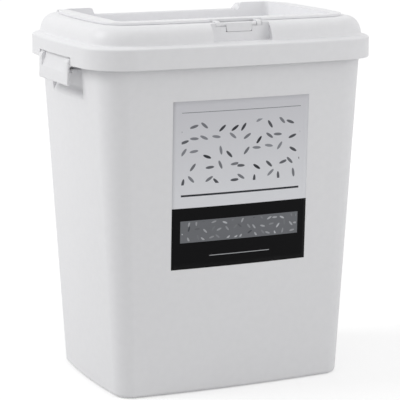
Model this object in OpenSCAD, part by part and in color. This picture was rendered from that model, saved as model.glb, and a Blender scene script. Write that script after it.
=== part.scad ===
// Rice bin with a flip lid: a tapered tub, a clip-on lid frame and a hinged tray lid.
// Frame: origin at the centre of the base on the floor, +X to the right seen from the
// front, +Y to the rear (hinge side), +Z up. Millimetres.

/* [Bin body] */
// Outer width of the tub at the floor
base_w = 322; // [300:1:340]
// Outer depth of the tub at the floor
base_d = 228; // [210:1:240]
// Outer corner radius of the tub at the floor
base_r = 24; // [16:1:34]
// Height of the tub's rim above the floor
body_h = 442; // [380:1:500]
// Thickness of the tub's walls
body_wall = 3; // [2:0.1:4]
// Thickness of the tub's floor
floor_t = 3.5; // [2.5:0.1:5]
// Radius of the edge between the floor and the walls
foot_r = 5; // [2:0.5:10]
// How far the front and back walls bow out at their middle
front_crown = 5.3; // [0:0.1:7]
// How far the side walls bow out at their middle
side_crown = 4.3; // [0:0.1:6]
// How far the rim's side edge lies inside the skirt's outer face
rim_inset_x = 13.5; // [12:0.1:16]
// How far the rim's front edge lies inside the skirt's outer face
rim_inset_y = 12.5; // [11:0.1:16]
// How much smaller the rim's corner radius is than the skirt's
rim_corner_step = 22; // [14:1:30]
// Gap between the rim's turned-down lip and the inside of the skirt
lip_gap = 1.5; // [1:0.1:2]
// Height of that lip
lip_h = 11; // [6:0.5:16]

/* [Grip pockets] */
// Length of each grip pocket along the side wall
pocket_l = 110; // [90:1:120]
// Depth of each grip pocket below the side wall
pocket_depth = 8; // [5:0.5:12]
// Height of a pocket, from its top to the foot of its scooped end
pocket_h = 59; // [52:1:80]
// Height of the scooped lower end of a pocket
pocket_scoop = 16; // [10:1:24]
// Distance from the tub's rim down to the top of a pocket
pocket_drop = 10; // [8:0.5:14]

/* [Lid frame] */
// Outer width of the lid frame's skirt
lid_w = 400; // [380:1:420]
// Outer depth of the lid frame's skirt
lid_d = 293; // [280:1:310]
// Outer corner radius of the skirt
lid_r = 60; // [50:1:66]
// How far each side of the skirt bows out at its middle
lid_crown = 3.7; // [0:0.1:5]
// How far the skirt hangs below the tub's rim
skirt_drop = 23; // [20:0.5:28]
// Thickness of the lid frame's walls
lid_wall = 2.5; // [2:0.1:3]
// Radius of the skirt's upper outer edge
skirt_edge_r = 5; // [3:0.5:6]
// Width of the step between the skirt and the dome
step_w = 10.3; // [9:0.1:12]
// Height of the dome above that step
dome_rise = 23.5; // [22:0.5:28]
// Horizontal run of the dome's rounded shoulder
shoulder_run = 17.7; // [14:0.1:19]
// How far the step's plate reaches inwards over the tub's rim
plate_reach = 19.5; // [19:0.1:22]

/* [Recess for the flip lid] */
// Width of the dome's flat top on either side of the recess
recess_side = 21; // [19:0.1:24]
// Width of the dome's flat top in front of the recess
recess_front = 25.5; // [25:0.1:30]
// Width of the dome's flat top behind the recess
recess_back = 10.5; // [10:0.1:11]
// Corner radius of the recess
recess_r = 9; // [6:1:10]
// Depth of the recess below the dome's top
recess_depth = 25.5; // [24:0.1:27]
// Width of the ledge around the filling opening
ledge_w = 13; // [11:0.5:16]
// Corner radius of the filling opening
throat_r = 13; // [8:1:20]

/* [Flip lid] */
// Width of the dome's flat top left bare beside the flange
flange_side = 4; // [3:0.1:6]
// Width of the dome's flat top left bare before and behind the flange
flange_front = 7.5; // [6.5:0.1:8]
// Corner radius of the flange
flip_r = 36; // [30:1:44]
// Thickness of the flange
flange_t = 2.8; // [2:0.1:3.2]
// Wall thickness of the sunk tray
tray_wall = 2.5; // [2:0.1:3]
// Corner radius inside the sunk tray
tray_r = 8; // [4:1:10]
// Gap between the tray and the walls of the recess
tray_gap = 1.5; // [1:0.1:2]
// Gap between the flange and the dome's top
flange_gap = 0.7; // [0.4:0.1:1.2]
// Height of the rib under the tray that locates its seal
seal_rib_h = 1; // [0.6:0.1:1.5]
// Thickness of that rib
seal_rib_t = 1.5; // [1:0.1:2]

/* [Flip lid hinge] */
// Distance of the hinge axis in from the rear edge of the dome's flat top
hinge_in = 2.5; // [2:0.1:3]
// Height of the hinge axis below the dome's top
hinge_drop = 9; // [8.5:0.1:9.5]
// Radius of the flip lid's two hinge barrels
barrel_r = 11; // [10.5:0.1:11.2]
// Length of each hinge barrel
barrel_l = 47.5; // [40:0.5:55]
// How far a barrel reaches out past the side of the recess
barrel_over = 1; // [0.5:0.1:2]
// Gap around a hinge barrel in its trough
barrel_gap = 0.6; // [0.4:0.1:0.8]
// Gap at the ends of a hinge barrel
barrel_end_gap = 1; // [0.6:0.1:1.5]
// Radius of the half-round rail between the barrels
rail_r = 3.6; // [3.2:0.1:4]
// Radius of the hinge pins
hinge_pin_r = 1.75; // [1.5:0.05:2]
// Length of each hinge pin
hinge_pin_l = 38; // [30:1:44]
// Depth of the rear shelf's edge in front of the recess's rear wall
shelf_in = 4; // [3.5:0.1:4.5]

/* [Front latch] */
// Width of the finger recess in the front of the dome
latch_recess_w = 80; // [76:1:90]
// Distance of the finger recess's back wall out from the dome's flat top
latch_wall_out = 3.5; // [3:0.1:4]
// Height of the finger recess's floor above the step
latch_floor = 1; // [0.5:0.1:2]
// Distance of the latch axis in from the front edge of the dome's flat top
latch_in = 1.5; // [1.2:0.1:1.8]
// Height of the latch axis below the dome's top
latch_drop = 3; // [2.8:0.1:3.4]
// Depth of the latch's pocket behind its axis
latch_pocket = 10.5; // [10:0.1:11]
// Width of the latch's tab
tab_w = 34; // [28:1:38]
// Height of the latch's tab below the top of its barrel's root
tab_h = 10.5; // [10:0.1:11]
// Thickness of the latch's tab
tab_t = 2.5; // [2:0.1:3]
// How far the tab stands out in front of the finger recess's back wall
tab_out = 0.5; // [0:0.1:1]
// Radius of the latch's barrel
latch_barrel_r = 3.2; // [3:0.1:3.4]
// Distance from the middle to a latch lug's inner face
lug_in = 25; // [22:0.5:27]
// Width of each latch lug
lug_w = 6; // [5:0.5:7]
// Radius of the lugs around the latch pin
lug_r = 4.7; // [4.2:0.1:5]
// Gap beside the latch's barrel, its lugs and its tab
latch_gap = 0.4; // [0.3:0.1:0.8]
// Radius of the latch pin
latch_pin_r = 1.6; // [1.4:0.05:1.8]
// Width of the hook behind the tab
hook_w = 28; // [20:1:32]
// Thickness of that hook
hook_t = 1.6; // [1.2:0.1:1.8]
// Thickness of the catch above the hook
latch_catch_t = 2; // [1.6:0.1:2.4]
// How far the hook reaches under the catch
hook_bite = 1.5; // [1:0.1:2]

/* [Side clips] */
// Gap between a side clip and each end of its grip pocket
clip_end_gap = 2; // [1:0.1:4]
// Height of a side clip's outer face below its hinge axis
clip_h = 27; // [24:0.5:32]
// Radius of the ears around the hinge axis
clip_ear_r = 7.2; // [6.8:0.1:7.4]
// Length of each ear
clip_ear_l = 11; // [9:0.5:14]
// Thickness of the clip's panel
clip_t = 2.2; // [1.8:0.1:2.6]
// Distance of the clip's axis inside the skirt's widest point
clip_inset = 6; // [5.8:0.1:6.2]
// Height of the clip's axis above the skirt's lower edge
clip_rise = 1.5; // [1:0.1:2]
// Depth of the finger scoop in the upper part of the clip's face
clip_scoop = 6.4; // [4:0.1:6.6]
// Distance of the scoop's lower end below the clip's axis
clip_scoop_low = 8.5; // [7:0.5:9.5]
// Bevel along the clip's lower edge
clip_bevel = 1; // [0.6:0.1:1.5]
// Length of the hook on the inside of a clip
clip_hook_l = 68; // [50:1:76]
// Thickness of that hook
clip_hook_t = 3.2; // [2.6:0.1:3.6]
// Distance of the hook's catch below the clip's ears
clip_catch_drop = 2.3; // [2:0.1:3]
// Thickness of the catch rib on the tub
clip_catch_t = 3; // [2:0.1:4]
// Distance of the catch rib's outer edge inside the clip's axis
clip_catch_in = 4; // [3.5:0.1:4.5]
// How far the hook reaches under the catch rib
clip_bite = 2.5; // [1.5:0.1:2.6]
// Radius of the clip's hinge pins
clip_pin_r = 1.6; // [1.4:0.05:1.8]
// Length of each clip hinge pin
clip_pin_l = 16; // [12:0.5:17]
// Length of the pin's stretch inside the frame's boss
clip_pin_hold = 5.2; // [4:0.1:6]
// Radius of the bosses that hold those pins
boss_r = 3.6; // [3.2:0.1:4]
// Gap between the clip's ends and the skirt's notch
notch_gap = 4; // [3:0.1:5]
// Gap between the clip's ears and the top of the notch
notch_top_gap = 1.3; // [1:0.1:1.6]

/* [Seals] */
// Thickness of both seals as fitted
seal_t = 2.2; // [1.8:0.1:2.6]
// Width of the seal on the tub's rim
rim_seal_w = 5.4; // [4:0.1:6]
// Width of the seal under the flip lid
flip_seal_w = 5; // [4:0.1:6]

/* [Label] */
// Width of the label on the front wall
label_w = 186; // [120:1:200]
// Height of the label
label_h = 213; // [120:1:220]
// Height of the label's lower edge above the floor
label_z = 164; // [120:1:170]
// Distance of the label's middle to the right of the bin's middle
label_x = 1.5; // [-10:0.5:10]
// Thickness of the label
label_t = 0.25; // [0.15:0.05:0.4]

/* [Measuring cup] */
// Outer radius of the cup at its rim
cup_r = 36; // [30:0.5:42]
// Outer radius of the cup at its base
cup_base_r = 30; // [24:0.5:34]
// Height of the cup
cup_h = 62; // [50:1:75]
// Wall thickness of the cup
cup_wall = 1.8; // [1.5:0.1:2.4]
// Thickness of the cup's rim and handle
cup_rim_t = 3; // [2:0.1:4]
// How far the cup's rim stands out
cup_rim_out = 2; // [1:0.1:3]
// Length of the cup's handle
cup_handle_l = 48; // [30:1:60]
// Width of the cup's handle
cup_handle_w = 18; // [14:1:24]

/* [Hidden] */

eps = 0.01;               // overlap that keeps cuts clean
over = 1;                 // how far a cut runs past what it cuts
rest_gap = 0.3;           // gap between parts that rest on each other
run_gap = 0.05;           // radial running clearance of a pin in its bore
end_gap = 0.2;            // gap at the end of a pin in a blind hole
arc_steps = 9;            // segments of a rounded corner
side_steps = 8;           // segments of a bowed side
smooth = 64;              // $fn of the true cylinders

shell_white = "#eef0f3";
seal_grey = "#d9dcdf";
pin_white = "#e4e6e9";
label_black = "#1b1c1e";
cup_clear = "#dfe6ea";

// Sizes seen from above that follow from the lid frame's outer size
rim_w = lid_w - 2*rim_inset_x;
rim_d = lid_d - 2*rim_inset_y;
rim_r = lid_r - rim_corner_step;
flat_w = lid_w - 2*(step_w + shoulder_run);
flat_d = lid_d - 2*(step_w + shoulder_run);
recess_w = flat_w - 2*recess_side;
recess_d = flat_d - recess_front - recess_back;
recess_rear = flat_d/2 - recess_back;
recess_y = recess_rear - recess_d/2;
throat_w = recess_w - 2*ledge_w;
throat_d = recess_d - 2*ledge_w;
tray_w = recess_w - 2*tray_gap;
tray_d = recess_d - 2*tray_gap;
tray_rear = recess_rear - tray_gap;
flip_w = flat_w - 2*flange_side;
flip_d = flat_d - 2*flange_front;

// Heights that follow from the driving sizes
skirt_z = body_h - skirt_drop;
plate_z = body_h + rest_gap + seal_t;
step_z = plate_z + lid_wall;
dome_z = step_z + dome_rise;
recess_z = dome_z - recess_depth;
tray_z = recess_z + rest_gap + seal_t;
flange_z = dome_z + flange_gap;
flip_top = flange_z + flange_t;

// Hinge axes
hinge_y = flat_d/2 - hinge_in;
hinge_z = dome_z - hinge_drop;
latch_y = flat_d/2 - latch_in;
latch_z = dome_z - latch_drop;
clip_x = lid_w/2 - clip_inset;
clip_z = skirt_z + clip_rise;

// ---- outlines ------------------------------------------------------------------

// Points of an arc of radius r about c, from angle a to angle b
function arc(c, r, a, b, n = arc_steps) =
    [for (i = [0:n]) c + r*[cos(a + (b - a)*i/n), sin(a + (b - a)*i/n)]];

// Inner points of a bowed side from p to q, bowing out by crown along n
function bowed(p, q, n, crown) =
    [for (i = [1:side_steps - 1]) let (t = i/side_steps)
        p + (q - p)*t + n*crown*(1 - pow(2*t - 1, 2))];

// Rounded rectangle with bowed sides; w and d are measured over the bows
function outline(w, d, r, bow_x, bow_y) =
    let (a = w/2 - bow_x, b = d/2 - bow_y)
    concat(
        arc([a - r, b - r], r, 0, 90), bowed([a - r, b], [r - a, b], [0, 1], bow_y),
        arc([r - a, b - r], r, 90, 180), bowed([-a, b - r], [-a, r - b], [-1, 0], bow_x),
        arc([r - a, r - b], r, 180, 270), bowed([r - a, -b], [a - r, -b], [0, -1], bow_y),
        arc([a - r, r - b], r, 270, 360), bowed([a, r - b], [a, b - r], [1, 0], bow_x));

// Outline of the tub's outer wall at height z, grown by g
function tub_outline(z, g = 0) =
    let (t = z/body_h)
    outline(base_w + (rim_w - base_w)*t + 2*g, base_d + (rim_d - base_d)*t + 2*g,
            base_r + (rim_r - base_r)*t + g, side_crown, front_crown);

// Outline of the lid frame, u inside the skirt's outer face
function lid_outline(u) =
    outline(lid_w - 2*u, lid_d - 2*u, lid_r - u, lid_crown, lid_crown);

// Half width of the tub's outer wall at height z, at the middle of the side
function tub_side(z) = (base_w + (rim_w - base_w)*z/body_h)/2;

// A thin slice of an outline at height z, for hulls
module slice(points, z) {
    translate([0, 0, z]) linear_extrude(eps) polygon(points);
}

// Rounded rectangle with true arcs, centred
module round_rect(w, d, r) {
    union() {
        square([w - 2*r, d], center = true);
        square([w, d - 2*r], center = true);
        for (x = [-1, 1], y = [-1, 1])
            translate([x*(w/2 - r), y*(d/2 - r)]) circle(r, $fn = smooth);
    }
}

// A box given by its lowest and highest corners
module block(low, high) {
    translate(low) cube(high - low);
}

// A cylinder along X from x0 to x1
module rod_x(x0, x1, y, z, r) {
    translate([x0, y, z]) rotate([0, 90, 0]) cylinder(x1 - x0, r = r, $fn = smooth);
}

// A cylinder along Y from y0 to y1
module rod_y(y0, y1, x, z, r) {
    translate([x, y0, z]) rotate([-90, 0, 0]) cylinder(y1 - y0, r = r, $fn = smooth);
}

// Repeats its children on the right (+X) and, mirrored, on the left
module both_sides() {
    children();
    mirror([1, 0, 0]) children();
}

// ---- tub -----------------------------------------------------------------------

// The closed outer form of the tub, grown by g
module tub_form(g = 0) {
    low_round = 0.3*foot_r;
    hull() {
        slice(tub_outline(0, g - foot_r), 0);
        slice(tub_outline(low_round, g - low_round), low_round);
        slice(tub_outline(foot_r, g), foot_r);
        slice(tub_outline(body_h, g), body_h - eps);
    }
}

pocket_top = body_h - pocket_drop;
pocket_low = pocket_top - pocket_h;
pocket_back = tub_side(pocket_low + pocket_scoop) - pocket_depth;

// Side view of a grip pocket's cut: straight back and a scooped lower end
module pocket_profile(grow) {
    scoop_top = pocket_low + pocket_scoop;
    polygon([[tub_side(pocket_low) + side_crown, pocket_low - grow],
             [pocket_back - grow, scoop_top], [pocket_back - grow, pocket_top + grow],
             [lid_w/2, pocket_top + grow], [lid_w/2, pocket_low - grow]]);
}

// A grip pocket on the right side, grown by its wall thickness
module pocket(grow) {
    length = pocket_l + 2*grow;
    translate([0, length/2, 0]) rotate([90, 0, 0]) linear_extrude(length)
        pocket_profile(grow);
}

clip_l = pocket_l - 2*clip_end_gap;
notch_half = clip_l/2 + notch_gap;
catch_z = clip_z - clip_ear_r - clip_catch_drop;
catch_x = clip_x - clip_catch_in;
catch_half = clip_hook_l/2 + body_wall;

// Rim flange with its turned-down lip, open where the side clips pass
module rim_flange() {
    lip_u = lid_wall + lip_gap;
    lip_z = body_h - lip_h;
    gap_half = notch_half + 2*notch_gap;
    difference() {
        translate([0, 0, lip_z]) linear_extrude(lip_h) polygon(lid_outline(lip_u));
        translate([0, 0, lip_z - over]) linear_extrude(lip_h - lid_wall + over)
            polygon(lid_outline(lip_u + lid_wall));
        translate([0, 0, lip_z - over]) linear_extrude(lip_h + 2*over)
            polygon(tub_outline(body_h, -over));
        both_sides() block([tub_side(body_h), -gap_half, lip_z - over],
                           [lid_w, gap_half, body_h + over]);
    }
}

module bin_body() {
    inner_foot = foot_r - body_wall;
    color(shell_white) difference() {
        union() {
            difference() {
                tub_form();
                hull() {
                    slice(tub_outline(floor_t, -body_wall - inner_foot), floor_t);
                    slice(tub_outline(floor_t + inner_foot, -body_wall), floor_t + inner_foot);
                    slice(tub_outline(body_h, -body_wall), body_h);
                }
            }
            // walls that carry the grip pockets inwards
            intersection() {
                tub_form();
                both_sides() pocket(body_wall);
            }
            rim_flange();
        }
        both_sides() pocket(0);
    }
    // catch ribs across the grip pockets, which the side clips hook under
    color(shell_white) both_sides()
        block([pocket_back - body_wall/2, -catch_half, catch_z],
              [catch_x, catch_half, catch_z + clip_catch_t]);
}

module front_label() {
    color(label_black) intersection() {
        difference() {
            tub_form(label_t);
            tub_form();
        }
        block([label_x - label_w/2, -base_d, label_z],
              [label_x + label_w/2, 0, label_z + label_h]);
    }
}

// ---- lid frame -----------------------------------------------------------------

// The closed outer form of the dome, inset by g all over
module dome_form(g = 0) {
    hull() for (a = [0:15:90])
        slice(lid_outline(step_w + g + shoulder_run*(1 - cos(a))),
              step_z - eps + (dome_rise - g)*sin(a));
}

// Skirt and step: straight wall with a rounded upper edge
module skirt_form() {
    translate([0, 0, skirt_z]) linear_extrude(step_z - skirt_edge_r - skirt_z)
        polygon(lid_outline(0));
    hull() for (a = [0:30:90])
        slice(lid_outline(skirt_edge_r*(1 - cos(a))),
              step_z - eps - skirt_edge_r*(1 - sin(a)));
}

barrel_out = recess_w/2 + barrel_over;
barrel_in = barrel_out - barrel_l;
trough_in = barrel_in - barrel_end_gap;
trough_out = barrel_out + barrel_end_gap;
trough_r = barrel_r + barrel_gap;
shelf_half = trough_out + lid_wall;
shelf_y = recess_rear - shelf_in;

// Everything that the rear hinge needs cleared above the shelf
module hinge_cut() {
    block([-shelf_half, shelf_y, hinge_z], [shelf_half, lid_d, dome_z + over]);
}

latch_wall_y = flat_d/2 + latch_wall_out;
latch_pocket_y = latch_y - latch_pocket;
latch_pocket_half = lug_in + lug_w + latch_floor + lid_wall;
tab_pocket_half = tab_w/2 + tray_gap;
tab_low = latch_z + lid_wall - tab_h;
tab_pocket_z = tab_low - 2*latch_floor;
latch_recess_z = step_z + latch_floor;
catch_low = tab_low + hook_t + latch_gap;
catch_top = catch_low + latch_catch_t;
catch_y = latch_y - hook_bite;

// Finger recess and latch pocket in the front of the dome
module latch_cut() {
    block([-latch_recess_w/2, -lid_d, latch_recess_z],
          [latch_recess_w/2, -latch_wall_y, dome_z + over]);
    block([-latch_pocket_half, -lid_d, latch_z - lug_r - 2*latch_gap],
          [latch_pocket_half, -latch_pocket_y, dome_z + over]);
    block([-tab_pocket_half, -lid_d, tab_pocket_z],
          [tab_pocket_half, -latch_pocket_y, dome_z + over]);
}

// The walls around those cuts, before they are made
module latch_walls() {
    w = lid_wall;
    block([-latch_recess_w/2 - w, -lid_d, latch_recess_z - w],
          [latch_recess_w/2 + w, w - latch_wall_y, dome_z]);
    block([-latch_pocket_half - w, -lid_d, tab_pocket_z - w],
          [latch_pocket_half + w, w - latch_pocket_y, dome_z]);
}

notch_z = clip_z + clip_ear_r + notch_top_gap;
clip_pin_out = notch_half + clip_pin_hold;
boss_out = clip_pin_out + over;

// The moulded frame without its hinge rail, catch and pin holes
module frame_shell() {
    w = lid_wall;
    difference() {
        union() {
            difference() {
                union() {
                    skirt_form();
                    dome_form();
                }
                translate([0, 0, skirt_z - over]) linear_extrude(plate_z - skirt_z + over)
                    polygon(lid_outline(w));
                translate([0, 0, plate_z - over]) linear_extrude(w + over + eps)
                    polygon(lid_outline(plate_reach));
                dome_form(w);
            }
            // walls and ledge of the recess that takes the flip lid
            translate([0, recess_y, recess_z - w]) linear_extrude(recess_depth + w)
                round_rect(recess_w + 2*w, recess_d + 2*w, recess_r + w);
            // rear shelf, latch walls and hinge troughs, all inside the dome's form
            intersection() {
                dome_form();
                union() {
                    block([-shelf_half - w, recess_rear - w, hinge_z - w],
                          [shelf_half + w, lid_d, dome_z]);
                    latch_walls();
                    both_sides() rod_x(trough_in - w, trough_out + w, hinge_y, hinge_z,
                                       trough_r + w);
                }
            }
            // bosses that hold the side clips' pins behind the skirt
            both_sides() {
                rod_y(-boss_out, -notch_half, clip_x, clip_z, boss_r);
                rod_y(notch_half, boss_out, clip_x, clip_z, boss_r);
            }
        }
        hinge_cut();
        latch_cut();
        // recess, filling opening and troughs
        translate([0, recess_y, recess_z]) linear_extrude(recess_depth + over)
            round_rect(recess_w, recess_d, recess_r);
        translate([0, recess_y, recess_z - w - over]) linear_extrude(w + 2*over)
            round_rect(throat_w, throat_d, throat_r);
        both_sides() rod_x(trough_in, trough_out, hinge_y, hinge_z, trough_r);
        // notches in the skirt for the side clips
        both_sides() block([tub_side(body_h), -notch_half, skirt_z - over],
                           [lid_w, notch_half, notch_z]);
    }
}

module lid_frame() {
    pin_start = trough_in - hinge_pin_l/2;
    hollow_half = pin_start - lid_wall;
    color(shell_white) difference() {
        union() {
            frame_shell();
            // half-round rail between the hinge barrels, hollow below in its middle
            difference() {
                rod_x(-trough_in, trough_in, hinge_y, hinge_z, rail_r);
                block([-hollow_half, hinge_y - rail_r, hinge_z - rail_r - over],
                      [hollow_half, hinge_y + rail_r, hinge_z - lid_wall]);
            }
            // catch that the front latch hooks under
            block([-hook_w/2 - over, -catch_y, catch_low],
                  [hook_w/2 + over, eps - latch_pocket_y, catch_top]);
        }
        both_sides() rod_x(pin_start, trough_in + over, hinge_y, hinge_z, hinge_pin_r);
        both_sides() rod_y(-clip_pin_out, clip_pin_out, clip_x, clip_z, clip_pin_r);
    }
}

module rim_seal() {
    seal_out = (rim_seal_w - body_wall)/2;
    color(seal_grey) translate([0, 0, body_h + rest_gap]) linear_extrude(seal_t) difference() {
        polygon(tub_outline(body_h, seal_out));
        polygon(tub_outline(body_h, seal_out - rim_seal_w));
    }
}

// ---- flip lid ------------------------------------------------------------------

seal_inner_w = throat_w + 2*(seal_rib_t + rest_gap);
seal_inner_d = throat_d + 2*(seal_rib_t + rest_gap);

// One of the flip lid's two lugs for the latch pin
module latch_lug() {
    lug_back = latch_pocket_y + 2*latch_gap;
    rod_x(lug_in, lug_in + lug_w, -latch_y, latch_z, lug_r);
    block([lug_in, -latch_y, latch_z - lug_r], [lug_in + lug_w, -lug_back, latch_z + lug_r]);
}

// Flange of the flip lid, set back between and beside the latch's lugs
module flip_flange() {
    gap_half = lug_in + lug_w + 2*hinge_in;
    gap_y = flip_d/2 - latch_wall_out;
    difference() {
        linear_extrude(flange_t)
            polygon(outline(flip_w, flip_d, flip_r, lid_crown, lid_crown));
        translate([0, 0, -over]) linear_extrude(flange_t + 2*over)
            translate([-gap_half, -lid_d]) square([2*gap_half, lid_d - gap_y]);
    }
}

module flip_lid() {
    t = tray_wall;
    rear_wall = tray_rear - t;
    color(shell_white) difference() {
        union() {
            translate([0, 0, flange_z]) flip_flange();
            translate([0, recess_y, tray_z]) linear_extrude(flip_top - tray_z)
                round_rect(tray_w, tray_d, tray_r + t);
            both_sides() rod_x(barrel_in, barrel_out, hinge_y, hinge_z, barrel_r);
            both_sides() latch_lug();
            // rib under the tray that locates the seal
            translate([0, recess_y, tray_z - seal_rib_h]) linear_extrude(seal_rib_h + eps)
                difference() {
                    round_rect(throat_w + 2*seal_rib_t, throat_d + 2*seal_rib_t, throat_r);
                    round_rect(throat_w, throat_d, throat_r);
                }
        }
        // inside of the tray
        translate([0, recess_y, tray_z + t]) linear_extrude(flip_top)
            round_rect(tray_w - 2*t, tray_d - 2*t, tray_r);
        // lowered rear edge between the barrels
        block([-barrel_in, rear_wall - over, hinge_z + rail_r - over],
              [barrel_in, lid_d, flip_top + over]);
        block([-barrel_in, tray_rear, tray_z - over], [barrel_in, lid_d, flip_top + over]);
        // bores for the hinge pins and the latch pin
        both_sides() rod_x(barrel_in - over, barrel_in + hinge_pin_l/2 + over, hinge_y, hinge_z,
                           hinge_pin_r + run_gap);
        rod_x(-lug_in - lug_w - over, lug_in + lug_w + over, -latch_y, latch_z, latch_pin_r);
    }
}

module flip_lid_seal() {
    color(seal_grey) translate([0, recess_y, recess_z + rest_gap]) linear_extrude(seal_t)
        difference() {
            round_rect(seal_inner_w + 2*flip_seal_w, seal_inner_d + 2*flip_seal_w, throat_r);
            round_rect(seal_inner_w, seal_inner_d, throat_r);
        }
}

// One hinge pin of the flip lid, half in the rail and half in the barrel
module hinge_pin() {
    rod_x(trough_in - hinge_pin_l/2 + end_gap, barrel_in + hinge_pin_l/2, hinge_y, hinge_z,
          hinge_pin_r);
}

module hinge_pin_left() {
    color(pin_white) mirror([1, 0, 0]) hinge_pin();
}

module hinge_pin_right() {
    color(pin_white) hinge_pin();
}

// ---- front latch ---------------------------------------------------------------

module front_latch() {
    tab_face = latch_wall_y + tab_out;
    hook_y = catch_y - hook_bite;
    half = lug_in - latch_gap;
    color(shell_white) difference() {
        union() {
            rod_x(-half, half, -latch_y, latch_z, latch_barrel_r);
            block([-tab_w/2, -tab_face, tab_low], [tab_w/2, tab_t - tab_face, tab_low + tab_h]);
            block([-tab_w/2, tab_t/2 - tab_face, latch_z - over],
                  [tab_w/2, -latch_y, latch_z + lid_wall]);
            block([-hook_w/2, tab_t/2 - tab_face, tab_low], [hook_w/2, -hook_y, tab_low + hook_t]);
        }
        rod_x(-lug_in, lug_in, -latch_y, latch_z, latch_pin_r + run_gap);
    }
}

module latch_pin() {
    half = lug_in + lug_w - end_gap;
    color(pin_white) rod_x(-half, half, -latch_y, latch_z, latch_pin_r);
}

// ---- side clips ----------------------------------------------------------------

clip_back = clip_ear_r - clip_t;
hook_top = catch_z - rest_gap;
ear_inner = clip_l/2 - clip_ear_l;
ear_bore_l = clip_ear_l - lid_wall;

// Plate of a clip in side view: x out from the hinge axis, y up from it
module clip_plate_profile() {
    scoop_x = clip_ear_r - clip_scoop;
    polygon([[clip_ear_r, -clip_scoop_low], [clip_ear_r, 1.5*clip_bevel - clip_h],
             [clip_ear_r - clip_bevel, -clip_h], [clip_back, -clip_h],
             [clip_back, -clip_scoop_low - clip_bevel],
             [scoop_x - clip_t, clip_ear_r - clip_bevel],
             [scoop_x - clip_t + clip_bevel, clip_ear_r], [scoop_x, clip_ear_r]]);
}

// Ear at an end of a clip in side view, round about the hinge axis
module clip_ear_profile() {
    heel_x = 0.28*clip_ear_r;
    circle(clip_ear_r, $fn = smooth);
    polygon([[clip_ear_r, 0], [clip_ear_r, 1.5*clip_bevel - clip_h],
             [clip_ear_r - clip_bevel, -clip_h], [clip_back, -clip_h],
             [clip_back, -2*clip_scoop_low], [-heel_x, -0.95*clip_ear_r], [0, 0]]);
}

// Extrudes a side view along Y between y0 and y1, on the right side of the bin
module along_y(y0, y1) {
    translate([clip_x, y1, clip_z]) rotate([90, 0, 0]) linear_extrude(y1 - y0) children();
}

module side_clip() {
    half = clip_l/2;
    color(shell_white) difference() {
        union() {
            along_y(-half, -ear_inner) clip_ear_profile();
            along_y(ear_inner, half) clip_ear_profile();
            along_y(-ear_inner - eps, ear_inner + eps) clip_plate_profile();
            block([catch_x - clip_bite, -clip_hook_l/2, hook_top - clip_hook_t],
                  [clip_x + clip_back + eps, clip_hook_l/2, hook_top]);
        }
        rod_y(-half - over, ear_bore_l - half, clip_x, clip_z, clip_pin_r + run_gap);
        rod_y(half - ear_bore_l, half + over, clip_x, clip_z, clip_pin_r + run_gap);
    }
}

module side_clip_left() {
    mirror([1, 0, 0]) side_clip();
}

module side_clip_right() {
    side_clip();
}

// Hinge pin of the right clip's rear end, held in the frame's boss
module clip_pin() {
    color(pin_white)
        rod_y(clip_pin_out - clip_pin_l, clip_pin_out - end_gap, clip_x, clip_z, clip_pin_r);
}

module clip_pin_left_front() {
    mirror([1, 0, 0]) mirror([0, 1, 0]) clip_pin();
}

module clip_pin_left_rear() {
    mirror([1, 0, 0]) clip_pin();
}

module clip_pin_right_front() {
    mirror([0, 1, 0]) clip_pin();
}

module clip_pin_right_rear() {
    clip_pin();
}

// ---- measuring cup -------------------------------------------------------------

module measuring_cup() {
    taper = (cup_r - cup_base_r)/cup_h;
    rim_z = cup_h - cup_rim_t;
    handle_x = cup_r + cup_handle_l - cup_handle_w/2;
    color(cup_clear) translate([0, 0, floor_t + rest_gap]) difference() {
        union() {
            cylinder(cup_h, r1 = cup_base_r, r2 = cup_r, $fn = smooth);
            translate([0, 0, rim_z]) cylinder(cup_rim_t, r = cup_r + cup_rim_out, $fn = smooth);
            block([0, -cup_handle_w/2, rim_z], [handle_x, cup_handle_w/2, cup_h]);
            translate([handle_x, 0, rim_z]) cylinder(cup_rim_t, r = cup_handle_w/2, $fn = smooth);
        }
        translate([0, 0, cup_wall])
            cylinder(cup_h, r1 = cup_base_r - cup_wall + taper*cup_wall,
                     r2 = cup_r - cup_wall + taper*cup_wall, $fn = smooth);
    }
}

bin_body();
front_label();
lid_frame();
rim_seal();
flip_lid();
flip_lid_seal();
hinge_pin_left();
hinge_pin_right();
front_latch();
latch_pin();
side_clip_left();
side_clip_right();
clip_pin_left_front();
clip_pin_left_rear();
clip_pin_right_front();
clip_pin_right_rear();
measuring_cup();
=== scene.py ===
import math

import bmesh
import bpy
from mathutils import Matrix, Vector


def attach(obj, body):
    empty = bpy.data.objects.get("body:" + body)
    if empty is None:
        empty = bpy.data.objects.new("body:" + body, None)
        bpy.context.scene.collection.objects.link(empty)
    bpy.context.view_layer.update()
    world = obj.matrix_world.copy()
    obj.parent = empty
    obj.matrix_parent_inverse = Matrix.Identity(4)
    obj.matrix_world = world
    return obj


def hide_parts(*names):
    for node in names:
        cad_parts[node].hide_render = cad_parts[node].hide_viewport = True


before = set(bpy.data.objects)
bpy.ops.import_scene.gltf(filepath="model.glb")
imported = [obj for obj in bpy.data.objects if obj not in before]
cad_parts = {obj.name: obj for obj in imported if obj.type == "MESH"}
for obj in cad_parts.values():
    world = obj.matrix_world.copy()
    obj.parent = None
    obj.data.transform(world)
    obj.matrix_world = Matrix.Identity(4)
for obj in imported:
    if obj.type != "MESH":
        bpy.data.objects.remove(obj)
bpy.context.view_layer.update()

# ---- Tub -----------------------------------------------------------------------------
# The tub is one injection moulding in white polypropylene: a tapered box with bowed sides,
# a rolled-over rim flange and a scooped grip pocket in each side wall. Millimetres.

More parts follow.
